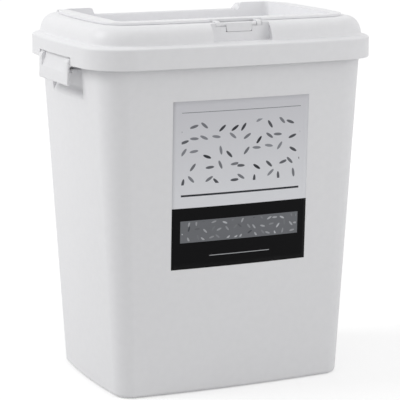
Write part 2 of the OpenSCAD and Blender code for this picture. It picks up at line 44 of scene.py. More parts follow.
TUB_H, TUB_WALL, TUB_FLOOR = 442.0, 3.0, 3.5
FOOT_W, FOOT_D, FOOT_CORNER, FOOT_R = 322.0, 228.0, 24.0, 5.0
WIDER, DEEPER, ROUNDER = 51.0, 40.0, 14.0  # from the foot to the rim
BOW_X, BOW_Y = 4.3, 5.3  # how far the side and front walls swell
SKIRT_W, SKIRT_D, SKIRT_CORNER, SKIRT_BOW = 400.0, 293.0, 60.0, 3.7
FLANGE_T, LIP_LOW, LIP_U = 2.5, 431.0, 4.0  # the lip stands LIP_U inside the skirt
RIM_EDGE, RIM_EDGE_MID = 1.2, 0.35
LIP_GAP_HALF, LIP_GAP_IN, LIP_GAP_OUT = 65.0, 186.5, 205.0
POCKET_HALF, POCKET_BACK, POCKET_OUT = 55.0, 175.36, 200.0
POCKET_LOW, POCKET_TOP, POCKET_SCOOP = 373.0, 432.0, 16.0
SCOOP_PAST_WALL, BACKING_PAST_WALL, BACKING_DROP = 0.12, 0.6, 1.2
CATCH_X, CATCH_LOW, CATCH_T = 190.0, 411.0, 3.0
CATCH_HALF, CATCH_TAPER, CATCH_END, CATCH_END_REACH = 37.0, 12.0, 50.0, 0.06  # along the wall
CATCH_SLOPE, CATCH_ROOT = 18.0, 1.5
ARC_STEPS, SIDE_STEPS, WALL_STEPS = 16, 24, 8
POCKET_SECTIONS, SCOOP_STEPS = 20, 14
SHARP_DEGREES, FLAT_DEGREES = 32.0, 0.4  # edges that are rounded, and ones that are dissolved
MOULD_GRAIN, MOULD_FLOW = 0.9, 8.333


def outline(width, depth, radius, bow_x, bow_y):
    """Points of a rounded rectangle whose sides bow out; width and depth go over the bows."""
    a, b = width / 2 - bow_x, depth / 2 - bow_y
    corners = ((a - radius, b - radius, 0), (radius - a, b - radius, 90),
               (radius - a, radius - b, 180), (a - radius, radius - b, 270))
    points = []
    for i, (cx, cy, start) in enumerate(corners):
        for k in range(ARC_STEPS + 1):
            turn = math.radians(start + 90 * k / ARC_STEPS)
            points.append((cx + radius * math.cos(turn), cy + radius * math.sin(turn)))
        px, py = points[-1]
        nx, ny = corners[(i + 1) % 4][:2]
        out = math.radians(start + 90)
        qx, qy = nx + radius * math.cos(out), ny + radius * math.sin(out)
        bow = bow_y if i % 2 == 0 else bow_x
        for k in range(1, SIDE_STEPS):
            t = k / SIDE_STEPS
            rise = bow * (1 - (2 * t - 1) ** 2)
            points.append((px + (qx - px) * t + rise * math.cos(out),
                           py + (qy - py) * t + rise * math.sin(out)))
    return points


def tub_size(z):
    """Width, depth and corner radius of the tub's outside at height z."""
    t = z / TUB_H
    return FOOT_W + WIDER * t, FOOT_D + DEEPER * t, FOOT_CORNER + ROUNDER * t


def tub_ring(z, grow=0.0):
    """Ring of the tub's outer wall at height z, grown outwards."""
    width, depth, corner = tub_size(z)
    return [(x, y, z) for x, y in outline(width + 2 * grow, depth + 2 * grow, corner + grow,
                                          BOW_X, BOW_Y)]


def lid_ring(z, inset):
    """Ring of the lid frame at height z, inset from the skirt's outer face."""
    return [(x, y, z) for x, y in outline(SKIRT_W - 2 * inset, SKIRT_D - 2 * inset,
                                          SKIRT_CORNER - inset, SKIRT_BOW, SKIRT_BOW)]


def new_piece(name, made):
    """Turns a bmesh in millimetres into an object in metres at the origin."""
    for v in made.verts:
        v.co *= 0.001
    bmesh.ops.recalc_face_normals(made, faces=made.faces)
    mesh = bpy.data.meshes.new(name)
    made.to_mesh(mesh)
    made.free()
    piece = bpy.data.objects.new(name, mesh)
    bpy.context.scene.collection.objects.link(piece)
    return piece


def loft(name, rings):
    """Closed solid through rings of equally many points, capped at both ends."""
    made = bmesh.new()
    rows = [[made.verts.new(p) for p in ring] for ring in rings]
    count = len(rows[0])
    for low, high in zip(rows, rows[1:]):
        for k in range(count):
            n = (k + 1) % count
            made.faces.new((low[k], low[n], high[n], high[k]))
    made.faces.new(rows[0][::-1])
    made.faces.new(rows[-1])
    return new_piece(name, made)


def block(low, high):
    """Box tool between two corners."""
    made = bmesh.new()
    bmesh.ops.create_cube(made, size=1)
    for v in made.verts:
        v.co = [(l + h) / 2 + c * (h - l) for c, l, h in zip(v.co, low, high)]
    return new_piece("tool", made)


def span(side, near, far):
    """Two distances out to one side (-1 or 1), the lower coordinate first."""
    return sorted((side * near, side * far))


def settle(piece):
    """Turns a piece's modifiers into plain mesh."""
    bpy.context.view_layer.update()
    evaluated = piece.evaluated_get(bpy.context.evaluated_depsgraph_get())
    result = bpy.data.meshes.new_from_object(evaluated)
    piece.modifiers.clear()
    piece.data = result
    return piece


def combine(piece, operation, tools):
    """Applies tools to a piece with exact booleans and removes them."""
    for tool in tools:
        modifier = piece.modifiers.new("tool", "BOOLEAN")
        modifier.operation = operation
        modifier.object = tool
        modifier.solver = "EXACT"
    settle(piece)
    for tool in tools:
        bpy.data.objects.remove(tool)
    return piece


def add(piece, *tools):
    """Moulds tools on to a piece."""
    return combine(piece, "UNION", tools)


def cut(piece, *tools):
    """Cuts tools out of a piece."""
    return combine(piece, "DIFFERENCE", tools)


def trim(piece, tool):
    """Keeps the part of a piece that lies within a tool."""
    return combine(piece, "INTERSECT", [tool])


def soften(piece, width, segments):
    """Rounds every sharp edge by width millimetres and shades the piece smooth."""
    made = bmesh.new()
    made.from_mesh(piece.data)
    bmesh.ops.remove_doubles(made, verts=made.verts, dist=0.00004)
    bmesh.ops.dissolve_degenerate(made, edges=made.edges, dist=0.00002)
    bmesh.ops.dissolve_limit(made, angle_limit=math.radians(FLAT_DEGREES), verts=made.verts,
                              edges=made.edges)
    made.to_mesh(piece.data)
    made.free()
    bevel = piece.modifiers.new("edges", "BEVEL")
    bevel.width = width * 0.001
    bevel.segments = segments
    bevel.limit_method = "ANGLE"
    bevel.angle_limit = math.radians(SHARP_DEGREES)
    bevel.use_clamp_overlap = True
    bevel.miter_outer = "MITER_ARC"
    piece.data.shade_smooth()
    weighted = piece.modifiers.new("normals", "WEIGHTED_NORMAL")
    weighted.keep_sharp = True
    return settle(piece)


def wall_x(y, z):
    """How far out the middle part of the tub's side wall stands at (y, z)."""
    width, depth, corner = tub_size(z)
    straight = depth / 2 - BOW_Y - corner
    return width / 2 - BOW_X * (y / straight) ** 2


def pocket(side, grow):
    """Cut of a grip pocket, whose lower end eases out to the wall, or what stands behind it."""
    sections = []
    past_wall = BACKING_PAST_WALL if grow else SCOOP_PAST_WALL
    drop = BACKING_DROP * grow
    for k in range(POCKET_SECTIONS + 1):
        y = (POCKET_HALF + grow) * (2 * k / POCKET_SECTIONS - 1)
        points = [(POCKET_OUT, POCKET_LOW - drop), (POCKET_OUT, POCKET_TOP + grow),
                  (POCKET_BACK - grow, POCKET_TOP + grow)]
        for step in range(SCOOP_STEPS + 1):
            t = step / SCOOP_STEPS
            z = POCKET_LOW + POCKET_SCOOP * (1 - t)
            ease = t * t * (3 - 2 * t)
            points.append((POCKET_BACK - grow + (wall_x(y, z) + past_wall - POCKET_BACK) * ease,
                           z - drop * t))
        sections.append([(side * x, y, z) for x, z in points])
    return loft("tool", sections)


def catch_rib(side):
    """Catch of a side clip: flat below for its hook, and sloped above and at both ends."""
    sections = []
    whole = CATCH_HALF - CATCH_TAPER
    top = CATCH_LOW + CATCH_T / 2
    for y, reach in ((-CATCH_END, CATCH_END_REACH), (-whole, 1), (whole, 1),
                     (CATCH_END, CATCH_END_REACH)):
        edge = POCKET_BACK + (CATCH_X - POCKET_BACK) * reach
        peak = top + CATCH_SLOPE * reach
        sections.append([(side * x, y, z) for x, z in (
            (POCKET_BACK - CATCH_ROOT, CATCH_LOW), (edge, CATCH_LOW), (edge, top),
            (POCKET_BACK, peak), (POCKET_BACK - CATCH_ROOT, peak))])
    return loft("tool", sections)


wall_top = TUB_H - FLANGE_T
rings = [tub_ring(FOOT_R * (1 - math.cos(math.radians(a))),
                  FOOT_R * (math.sin(math.radians(a)) - 1)) for a in range(0, 91, 18)]
rings += [tub_ring(FOOT_R + (wall_top - FOOT_R) * k / WALL_STEPS) for k in range(1, WALL_STEPS + 1)]
rings += [lid_ring(wall_top, LIP_U + FLANGE_T), lid_ring(LIP_LOW, LIP_U + FLANGE_T),
          lid_ring(LIP_LOW, LIP_U), lid_ring(TUB_H - RIM_EDGE, LIP_U),
          lid_ring(TUB_H - RIM_EDGE_MID, LIP_U + RIM_EDGE_MID), lid_ring(TUB_H, LIP_U + RIM_EDGE)]
inner_foot = FOOT_R - TUB_WALL
rings += [tub_ring(TUB_H - (TUB_H - TUB_FLOOR - inner_foot) * k / WALL_STEPS, -TUB_WALL)
          for k in range(WALL_STEPS + 1)]
rings += [tub_ring(TUB_FLOOR + inner_foot * (1 - math.sin(math.radians(a))),
                   -TUB_WALL - inner_foot * (1 - math.cos(math.radians(a)))) for a in (30, 60, 90)]
tub = loft("tub_shell", rings)

# Each pocket gets its back wall before it is cut; then the lip is cut away over the clips.
mid_wall = -0.4 * TUB_WALL
for side in (-1, 1):
    add(tub, trim(pocket(side, TUB_WALL), loft("tool", [
        tub_ring(FOOT_R + 1, mid_wall), tub_ring(TUB_H - 4, mid_wall)])))
    cut(tub, pocket(side, 0))
for side in (-1, 1):
    low, high = span(side, LIP_GAP_IN, LIP_GAP_OUT)
    cut(tub, block((low, -LIP_GAP_HALF, LIP_LOW - 1), (high, LIP_GAP_HALF, TUB_H + 1)))
    add(tub, catch_rib(side))
soften(tub, width=0.9, segments=3)


def linear(colour):
    """A hex sRGB colour as linear RGBA."""
    values = [int(colour[i:i + 2], 16) / 255 for i in (1, 3, 5)]
    return [v / 12.92 if v <= 0.04045 else ((v + 0.055) / 1.055) ** 2.4 for v in values] + [1.0]


def add_node(tree, kind, values=None, links=None, **settings):
    """Adds a node to a tree with its settings, socket values and links."""
    made = tree.nodes.new(kind)
    for name, value in settings.items():
        setattr(made, name, value)
    for socket, value in (values or {}).items():
        made.inputs[socket].default_value = value
    for socket, source in (links or {}).items():
        tree.links.new(source, made.inputs[socket])
    return made


def start_material(name):
    """Starts a material; returns it, its empty tree and the place on the piece in metres."""
    material = bpy.data.materials.new(name)
    material.use_nodes = True
    tree = material.node_tree
    tree.nodes.clear()
    return material, tree, add_node(tree, "ShaderNodeTexCoord").outputs["Object"]


def end_material(material, pattern, rough, bump, values, links):
    """Ends a material, whose roughness range and bump (strength, depth) follow one pattern."""
    tree = material.node_tree
    gloss = add_node(tree, "ShaderNodeMapRange", {"To Min": rough[0], "To Max": rough[1]},
                     {"Value": pattern})
    relief = add_node(tree, "ShaderNodeBump", {"Strength": bump[0], "Distance": bump[1]},
                      {"Height": pattern})
    shader = add_node(tree, "ShaderNodeBsdfPrincipled", values, {
        **links, "Roughness": gloss.outputs["Result"], "Normal": relief.outputs["Normal"]})
    add_node(tree, "ShaderNodeOutputMaterial", links={"Surface": shader.outputs["BSDF"]})
    return material


def dress(piece, material):
    """Gives a piece its one material."""
    piece.data.materials.clear()
    piece.data.materials.append(material)


def satin_polypropylene():
    """White moulded polypropylene with a satin tool finish.

    The eye sees a soft, slightly broken highlight: the mould was fine-blasted, so the skin has
    a grain of about 0.5 mm, drawn at 0.9 mm so that it shows, and faint flow shading 8 mm wide."""
    material, tree, place = start_material("satin_moulded_polypropylene")
    flow = add_node(tree, "ShaderNodeTexNoise", {"Scale": 1000 / MOULD_FLOW, "Detail": 2.0},
                    {"Vector": place})
    colour = add_node(tree, "ShaderNodeValToRGB", links={"Fac": flow.outputs["Fac"]})
    darker, lighter = colour.color_ramp.elements
    darker.color, lighter.color = linear("#efeff1"), linear("#f1f1f3")
    darker.position, lighter.position = 0.3, 0.7
    grain = add_node(tree, "ShaderNodeTexNoise", {"Scale": 1000 / MOULD_GRAIN, "Detail": 3.0},
                     {"Vector": place})
    return end_material(material, grain.outputs["Fac"], rough=(0.36, 0.48), bump=(0.12, 0.0001),
                        values={"IOR": 1.49, "Subsurface Weight": 0.05,
                                "Subsurface Radius": (1, 1, 1), "Subsurface Scale": 0.002},
                        links={"Base Color": colour.outputs["Color"]})


polypropylene = satin_polypropylene()
dress(tub, polypropylene)
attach(tub, "bin")
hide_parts("bin_body")

# ---- Label ---------------------------------------------------------------------------
# A printed self-adhesive film on the front wall: pale grey above, a dark band below, with
# scattered rice grains and plain rules. It lies on the wall's crown, 0.25 mm thick.

LABEL_LEFT, LABEL_RIGHT, LABEL_LOW, LABEL_HIGH = -91.5, 94.5, 164.0, 377.0
LABEL_T, LABEL_GAP = 0.25, 0.02
PRINT_LEFT, PRINT_RIGHT = -80.0, 83.0
TOP_RULE, GRAIN_FIELD, MIDDLE_RULE = (362.4, 363.2), (272.0, 350.0), (257.0, 259.5)
BAND, STRIP, STRIP_GRAINS, FOOT_RULE = (0.0, 242.5), (198.0, 226.0), (200.0, 224.0), (179.0, 179.9)
FOOT_RULE_LEFT, FOOT_RULE_RIGHT = -40.0, 43.0
FADE_LOW, FADE_HIGH, UNEVEN_GLOSS = 255.0, 375.0, 16.667


def front_wall(x, z, out):
    """Point on the tub's front wall at (x, z), moved out from it."""
    width, depth, corner = tub_size(z)
    straight = width / 2 - BOW_X - corner
    return (x, BOW_Y - depth / 2 - BOW_Y * (1 - (x / straight) ** 2) - out, z)


def film(name, columns=40, rows=24):
    """Thin closed sheet over the front wall."""
    made = bmesh.new()
    layers = []
    for out in (LABEL_GAP, LABEL_T):
        layers.append([[made.verts.new(front_wall(
            LABEL_LEFT + (LABEL_RIGHT - LABEL_LEFT) * i / columns,
            LABEL_LOW + (LABEL_HIGH - LABEL_LOW) * j / rows, out))
            for i in range(columns + 1)] for j in range(rows + 1)])
    for layer in layers:
        for low, high in zip(layer, layer[1:]):
            for i in range(columns):
                made.faces.new((low[i], low[i + 1], high[i + 1], high[i]))
    under, over = [layer[0] + [row[-1] for row in layer[1:]] + layer[-1][-2::-1]
                   + [row[0] for row in layer[-2:0:-1]] for layer in layers]
    for i in range(len(under)):
        n = (i + 1) % len(under)
        made.faces.new((under[i], under[n], over[n], over[i]))
    return new_piece(name, made)


def printed_film():
    """Gloss printed polypropylene film.

    The eye sees a smooth pale panel over a near-black band, flat ink with crisp edges and a
    slightly uneven gloss. Grains are 11 mm long above and 7 mm long in the band, as printed."""
    material, tree, place = start_material("printed_gloss_label_film")
    axes = add_node(tree, "ShaderNodeSeparateXYZ", links={"Vector": place})
    x, z = axes.outputs["X"], axes.outputs["Z"]
    flat = add_node(tree, "ShaderNodeCombineXYZ", links={"X": x, "Y": z}).outputs["Vector"]

    def within(source, low, high):
        """1 where a coordinate lies between two values in millimetres."""
        return add_node(tree, "ShaderNodeMath", {1: (low + high) / 2000, 2: (high - low) / 2000},
                        {0: source}, operation="COMPARE").outputs["Value"]

    def product(*factors):
        """Where all of several masks are 1."""
        result = factors[0]
        for factor in factors[1:]:
            result = add_node(tree, "ShaderNodeMath", links={0: result, 1: factor},
                              operation="MULTIPLY").outputs["Value"]
        return result

    def grains(cell, length, width):
        """Masks of one turned grain in each cell, and a random value for each."""
        cells = add_node(tree, "ShaderNodeTexVoronoi", {"Scale": 1000 / cell, "Randomness": 0.55},
                         {"Vector": flat}, voronoi_dimensions="2D")
        local = add_node(tree, "ShaderNodeVectorMath", operation="SUBTRACT",
                         links={0: flat, 1: cells.outputs["Position"]})
        chance = add_node(tree, "ShaderNodeSeparateColor", links={"Color": cells.outputs["Color"]})
        turn = add_node(tree, "ShaderNodeMath", {1: math.tau}, {0: chance.outputs["Red"]},
                        operation="MULTIPLY")
        turned = add_node(tree, "ShaderNodeVectorRotate", links={
            "Vector": local.outputs["Vector"], "Angle": turn.outputs["Value"]},
            rotation_type="Z_AXIS")
        scaled = add_node(tree, "ShaderNodeVectorMath", {1: (2000 / length, 2000 / width, 0)},
                          {0: turned.outputs["Vector"]}, operation="MULTIPLY")
        reach = add_node(tree, "ShaderNodeVectorMath", links={0: scaled.outputs["Vector"]},
                         operation="LENGTH")
        mask = add_node(tree, "ShaderNodeMapRange", {"From Min": 1.06, "From Max": 0.94},
                        {"Value": reach.outputs["Value"]})
        return mask.outputs["Result"], chance.outputs["Green"]

    def paint(under, over, mask):
        """Ink laid over another colour where the mask is 1."""
        mixer = add_node(tree, "ShaderNodeMix", data_type="RGBA")
        tree.links.new(mask, mixer.inputs["Factor"])
        for index, colour in ((6, under), (7, over)):
            if isinstance(colour, str):
                mixer.inputs[index].default_value = linear(colour)
            else:
                tree.links.new(colour, mixer.inputs[index])
        return mixer.outputs[2]

    large, large_tone = grains(cell=17.0, length=11.5, width=3.6)
    small, small_tone = grains(cell=10.0, length=7.0, width=2.3)
    ink = paint("#3a3b40", "#9b9da3", large_tone)
    pale = paint("#c9cbcf", "#54565a", small_tone)
    fade = add_node(tree, "ShaderNodeMapRange", {
        "From Min": FADE_LOW / 1000, "From Max": FADE_HIGH / 1000}, {"Value": z})
    across = within(x, PRINT_LEFT, PRINT_RIGHT)
    colour = paint("#ecedf1", "#dcdce1", fade.outputs["Result"])
    colour = paint(colour, ink, product(large, across, within(z, *GRAIN_FIELD)))
    colour = paint(colour, "#85878c", product(across, within(z, *TOP_RULE)))
    colour = paint(colour, "#3a3b40", product(across, within(z, *MIDDLE_RULE)))
    colour = paint(colour, "#08080a", within(z, *BAND))
    colour = paint(colour, "#77797d", product(across, within(z, *STRIP)))
    colour = paint(colour, pale, product(small, within(x, PRINT_LEFT + 2, PRINT_RIGHT - 2),
                                         within(z, *STRIP_GRAINS)))
    colour = paint(colour, "#b8babd", product(within(x, FOOT_RULE_LEFT, FOOT_RULE_RIGHT),
                                              within(z, *FOOT_RULE)))
    uneven = add_node(tree, "ShaderNodeTexNoise", {"Scale": 1000 / UNEVEN_GLOSS, "Detail": 2.0},
                      {"Vector": place})
    return end_material(material, uneven.outputs["Fac"], rough=(0.28, 0.42), bump=(0.1, 0.0002),
                        values={"IOR": 1.5, "Specular IOR Level": 0.08}, links={"Base Color": colour})


label = film("label_film")
dress(label, printed_film())
label.data.shade_smooth()
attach(label, "bin")
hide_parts("front_label")

# ---- Measuring cup -------------------------------------------------------------------
# A small tapered cup moulded in clear styrene with a turned-out rim, a flat handle and five
# raised measuring marks. It stands loose on the tub's floor and lifts out.

CUP_FOOT_Z = 3.8
CUP_R, CUP_BASE_R, CUP_H, CUP_WALL = 36.0, 30.0, 62.0, 1.8
CUP_FOOT_EDGE = ((2.0, 0.0), (0.6, 0.5), (-0.2, 2.0))
CUP_INNER_EDGE = ((0.8, 0.6), (2.4, 0.0))
CUP_RIM_T, CUP_RIM_OUT = 3.0, 2.0
CUP_HANDLE_END, CUP_HANDLE_W, CUP_HANDLE_ROOT, CUP_EYE_R = 84.0, 18.0, 0.9, 3.0
MARK_COUNT, MARK_FIRST, MARK_STEP, MARK_TURN, MARK_R = 5, 12.0, 9.0, 26.0, 0.4
POLISH_RINGS = 8.976


def circle(radius, z, x=0.0, count=72):
    """Ring of a vertical round form."""
    return [(x + radius * math.cos(math.tau * k / count), radius * math.sin(math.tau * k / count), z)
            for k in range(count)]


def clear_styrene():
    """Clear moulded styrene with a faint blue-grey cast.

    The eye sees through it, with bright rims and the turned marks of the mould's polish, drawn
    as soft rings 9 mm apart so that they show. A wave at scale 1 has a ring every tau / 20."""
    material, tree, place = start_material("clear_moulded_styrene")
    rings = add_node(tree, "ShaderNodeTexWave", {
        "Scale": math.tau / 20 * 1000 / POLISH_RINGS, "Distortion": 1.5}, {"Vector": place},
        bands_direction="Z")
    return end_material(material, rings.outputs["Fac"], rough=(0.12, 0.22), bump=(0.15, 0.0001),
                        values={"Base Color": linear("#dfe6ea"), "IOR": 1.5,
                                "Transmission Weight": 0.6}, links={})


handle_z = CUP_FOOT_Z + CUP_H - CUP_RIM_T
cup_flare = CUP_R - CUP_BASE_R
cup_rings = [circle(CUP_BASE_R - inset, CUP_FOOT_Z + rise) for inset, rise in CUP_FOOT_EDGE]
cup_rings += [circle(CUP_BASE_R + cup_flare * k / WALL_STEPS,
                     CUP_FOOT_Z + (CUP_H - CUP_RIM_T) * k / WALL_STEPS)
              for k in range(1, WALL_STEPS + 1)]
cup_rings += [circle(CUP_R + CUP_RIM_OUT, z) for z in (handle_z, CUP_FOOT_Z + CUP_H)]
cup_rings += [circle(CUP_R - CUP_WALL - cup_flare * k / WALL_STEPS,
                     CUP_FOOT_Z + CUP_H - (CUP_H - CUP_WALL - 2) * k / WALL_STEPS)
              for k in range(WALL_STEPS + 1)]
cup_rings += [circle(CUP_BASE_R - CUP_WALL - inset, CUP_FOOT_Z + CUP_WALL + rise)
              for inset, rise in CUP_INNER_EDGE]
cup = loft("measuring_cup_clear", cup_rings)

handle_half = CUP_HANDLE_W / 2
handle_turn = CUP_HANDLE_END - handle_half
handle_side = [(CUP_R - CUP_HANDLE_ROOT, -handle_half)]
for turn in range(0, 181, 10):
    turn = math.radians(turn)
    handle_side.append((handle_turn + handle_half * math.sin(turn), -handle_half * math.cos(turn)))
handle_side.append((CUP_R - CUP_HANDLE_ROOT, handle_half))
handle = loft("tool", [[(x, y, z) for x, y in handle_side] for z in (handle_z, handle_z + CUP_RIM_T)])
eyelet = loft("tool", [circle(CUP_EYE_R, z, handle_turn)
                       for z in (handle_z - 1, handle_z + CUP_RIM_T + 1)])
add(cup, handle)
cut(cup, eyelet)
soften(cup, width=0.5, segments=2)
styrene = clear_styrene()
dress(cup, styrene)
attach(cup, "cup")
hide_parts("measuring_cup")


def start_form(name, inputs):
    """Starts a Geometry Nodes tree with named inputs; returns it and its input sockets."""
    tree = bpy.data.node_groups.new(name, "GeometryNodeTree")
    for label, kind in inputs.items():
        tree.interface.new_socket(label, in_out="INPUT", socket_type=f"NodeSocket{kind}")
    tree.interface.new_socket("Form", in_out="OUTPUT", socket_type="NodeSocketGeometry")
    return tree, add_node(tree, "NodeGroupInput").outputs


def end_form(tree, form, material):
    """Ends a tree: the form is shaded smooth, made real and given its material."""
    smooth = add_node(tree, "GeometryNodeSetShadeSmooth", links={"Geometry": form})
    real = add_node(tree, "GeometryNodeRealizeInstances", links={"Geometry": smooth.outputs["Geometry"]})
    finished = add_node(tree, "GeometryNodeSetMaterial", {"Material": material},
                        {"Geometry": real.outputs["Geometry"]})
    add_node(tree, "NodeGroupOutput", links={"Form": finished.outputs["Geometry"]})
    return tree


def run_form(name, tree, sizes, path=()):
    """Piece made by a tree from its named sizes, on a closed path where it follows one."""
    made = bmesh.new()
    points = [made.verts.new(p) for p in path]
    for point, following in zip(points, points[1:] + points[:1]):
        made.edges.new((point, following))
    piece = new_piece(name, made)
    form = piece.modifiers.new("form", "NODES")
    form.node_group = tree
    for item in tree.interface.items_tree:
        if item.name in sizes:
            form[item.identifier] = sizes[item.name]
    material = [slot for slot in settle(piece).data.materials if slot][0]
    dress(piece, material)
    weld = bmesh.new()
    weld.from_mesh(piece.data)
    bmesh.ops.remove_doubles(weld, verts=weld.verts, dist=0.000005)
    bmesh.ops.recalc_face_normals(weld, faces=weld.faces)
    for face in weld.faces:
        face.material_index = 0
    weld.to_mesh(piece.data)
    weld.free()
    return piece


def measure_marks(material):
    """Tree of raised arcs up a tapered round wall, evenly spaced and growing with its radius."""
    tree, sizes = start_form("measure_marks", {
        "Count": "Int", "First": "Vector", "Step": "Vector", "Radius": "Float", "Growth": "Float",
        "Start": "Float", "Sweep": "Float", "Thickness": "Float"})
    arc = add_node(tree, "GeometryNodeCurveArc", {"Resolution": 12}, {
        "Radius": sizes["Radius"], "Start Angle": sizes["Start"], "Sweep Angle": sizes["Sweep"]})
    section = add_node(tree, "GeometryNodeCurvePrimitiveCircle", {"Resolution": 8},
                       {"Radius": sizes["Thickness"]})
    mark = add_node(tree, "GeometryNodeCurveToMesh", {"Fill Caps": True}, {
        "Curve": arc.outputs["Curve"], "Profile Curve": section.outputs["Curve"]})
    levels = add_node(tree, "GeometryNodeMeshLine", links={
        "Count": sizes["Count"], "Start Location": sizes["First"], "Offset": sizes["Step"]})
    number = add_node(tree, "GeometryNodeInputIndex").outputs["Index"]
    wider = add_node(tree, "ShaderNodeMath", {2: 1.0}, {0: number, 1: sizes["Growth"]},
                     operation="MULTIPLY_ADD").outputs["Value"]
    scale = add_node(tree, "ShaderNodeCombineXYZ", {"Z": 1.0}, {"X": wider, "Y": wider})
    marks = add_node(tree, "GeometryNodeInstanceOnPoints", links={
        "Points": levels.outputs["Mesh"], "Instance": mark.outputs["Mesh"],
        "Scale": scale.outputs["Vector"]})
    return end_form(tree, marks.outputs["Instances"], material)


cup_slope = cup_flare / (CUP_H - CUP_RIM_T)
first_r = CUP_BASE_R + cup_slope * MARK_FIRST
marks = run_form("measuring_cup_marks", measure_marks(styrene), {
    "Count": MARK_COUNT, "First": (0.0, 0.0, (CUP_FOOT_Z + MARK_FIRST) / 1000),
    "Step": (0.0, 0.0, MARK_STEP / 1000), "Radius": first_r / 1000,
    "Growth": cup_slope * MARK_STEP / first_r, "Start": math.radians(-90 - MARK_TURN / 2),
    "Sweep": math.radians(MARK_TURN), "Thickness": MARK_R / 1000})
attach(marks, "cup")

# ---- Lid frame -----------------------------------------------------------------------
# One moulding that closes the tub: a skirt, a step and a domed shoulder round a sunk recess
# for the flip lid, with hinge troughs behind and a finger recess in front.

SKIRT_LOW, SKIRT_EDGE, PLATE_LOW, STEP_Z, DOME_Z = 419.0, 0.5, 444.5, 447.0, 470.5
EDGE_R, EDGE_Z = 3.0, 442.8
STEP_W, DOME_RUN, DOME_START = 10.3, 17.7, 1.5
STEP_FILLET = ((-0.3, 5.5), (0.05, 8.4), (0.55, 9.7))
CORE_FOOT, CORE_START = 3.8, 1.2
FRAME_WALL, LEDGE_W = 2.5, 19.5
RECESS_W, RECESS_D, RECESS_R, RECESS_Y, RECESS_Z = 302.0, 201.0, 9.0, 7.5, 445.0
THROAT_W, THROAT_D, THROAT_R = 276.0, 175.0, 13.0
HINGE_Y, HINGE_Z = 116.0, 461.5
TROUGH_IN, TROUGH_OUT, TROUGH_R, TROUGH_END_T = 103.5, 153.0, 11.6, 2.8
SHELF_HALF, SHELF_Y = 155.5, 104.0
RAIL_R, RAIL_END_GAP, HINGE_BORE_R, HINGE_BORE_IN = 3.6, 0.6, 1.8, 84.5
FINGER_HALF, FINGER_Y, FINGER_Z = 40.0, -122.0, 448.0
SLOT_HALF, SLOT_SKIN, SLOT_GAP = 42.0, 2.0, 0.8
LATCH_Y, LATCH_Z = -117.0, 467.5
HOUSING_HALF, HOUSING_Y, HOUSING_Z = 37.0, -104.0, 455.0
LUG_HALF, LATCH_BACK, LUG_Z = 31.7, -106.5, 462.2
TAB_HALF, TAB_Z = 17.6, 459.1
KEEPER_HALF, KEEPER_Y, KEEPER_LOW, KEEPER_HIGH = 15.0, -115.5, 461.5, 463.5
NOTCH_HALF, NOTCH_TOP = 57.0, 429.0
CLIP_X, CLIP_Z = 194.0, 420.5
BOSS_IN, BOSS_OUT, BOSS_R = 53.4, 63.2, 3.0
CLIP_BORE_IN, CLIP_BORE_OUT, CLIP_BORE_R = 50.0, 62.2, 1.65
FAR_Y, DOME_FRONT, ABOVE, OVERLAP = 160.0, 146.0, DOME_Z + 1, 0.02


def rounded(width, depth, radius, z):
    """Ring of a plain rounded rectangle centred on the recess."""
    return [(x, y + RECESS_Y, z) for x, y in outline(width, depth, radius, 0, 0)]


def plug(width, depth, radius, low, high):
    """Straight tool centred on the recess."""
    return loft("tool", [rounded(width, depth, radius, z) for z in (low, high)])


def rod(axis, start, end, centre, radius, name="tool", count=56):
    """Round rod along X or Y; centre holds the other two coordinates."""
    rings = []
    for along in (start, end):
        ring = []
        for k in range(count):
            c, s = math.cos(math.tau * k / count), math.sin(math.tau * k / count)
            u, v = centre[0] + radius * c, centre[1] + radius * s
            ring.append((along, u, v) if axis == "X" else (u, along, v))
        rings.append(ring)
    return loft(name, rings)


def dome_ring(degrees, inset, low=0.0):
    """Ring of the dome's quarter-ellipse shoulder, inset all over, and not below a height."""
    turn = math.radians(degrees)
    return lid_ring(max(low, STEP_Z + (DOME_Z - STEP_Z - inset) * math.sin(turn)),
                    STEP_W + inset + DOME_RUN * (1 - math.cos(turn)))


def dome_rings(inset, low, steps=14):
    """Rings all the way up the dome."""
    return [dome_ring(90 * k / steps, inset, low) for k in range(steps + 1)]


lid_rings = dome_rings(FRAME_WALL, 0)[::-1]
lid_rings += [lid_ring(STEP_Z, LEDGE_W), lid_ring(PLATE_LOW, LEDGE_W), lid_ring(PLATE_LOW, FRAME_WALL),
              lid_ring(SKIRT_LOW, FRAME_WALL), lid_ring(SKIRT_LOW, SKIRT_EDGE),
              lid_ring(SKIRT_LOW + SKIRT_EDGE, 0), lid_ring(EDGE_Z, 0)]
for turn in (15, 30, 45, 60):
    turn = math.radians(turn)
    lid_rings.append(lid_ring(EDGE_Z + EDGE_R * math.sin(turn), EDGE_R - EDGE_R * math.cos(turn)))
lid_rings += [lid_ring(STEP_Z + rise, inset) for rise, inset in STEP_FILLET]
lid = loft("lid_frame_shell", lid_rings + dome_rings(0, STEP_Z + DOME_START))


def inside_dome(tool):
    """Keeps the part of a tool that lies within the dome, up to the middle of its wall."""
    half = FRAME_WALL / 2
    core = loft("tool", [lid_ring(PLATE_LOW + 1, STEP_W + CORE_FOOT),
                         lid_ring(STEP_Z + 1, STEP_W + half)]
                + dome_rings(half, STEP_Z + CORE_START)[1:])
    return trim(tool, core)


def finger_slots():
    """Shallow slots in the finger recess's ends, behind the dome's skin."""
    hollow = loft("tool", [lid_ring(STEP_Z + 0.5, STEP_W + SLOT_SKIN)]
                  + [dome_ring(a, SLOT_SKIN) for a in range(6, 91, 6)])
    return trim(block((-SLOT_HALF, -DOME_FRONT, FINGER_Z + 1),
                      (SLOT_HALF, FINGER_Y - SLOT_GAP, DOME_Z)), hollow)


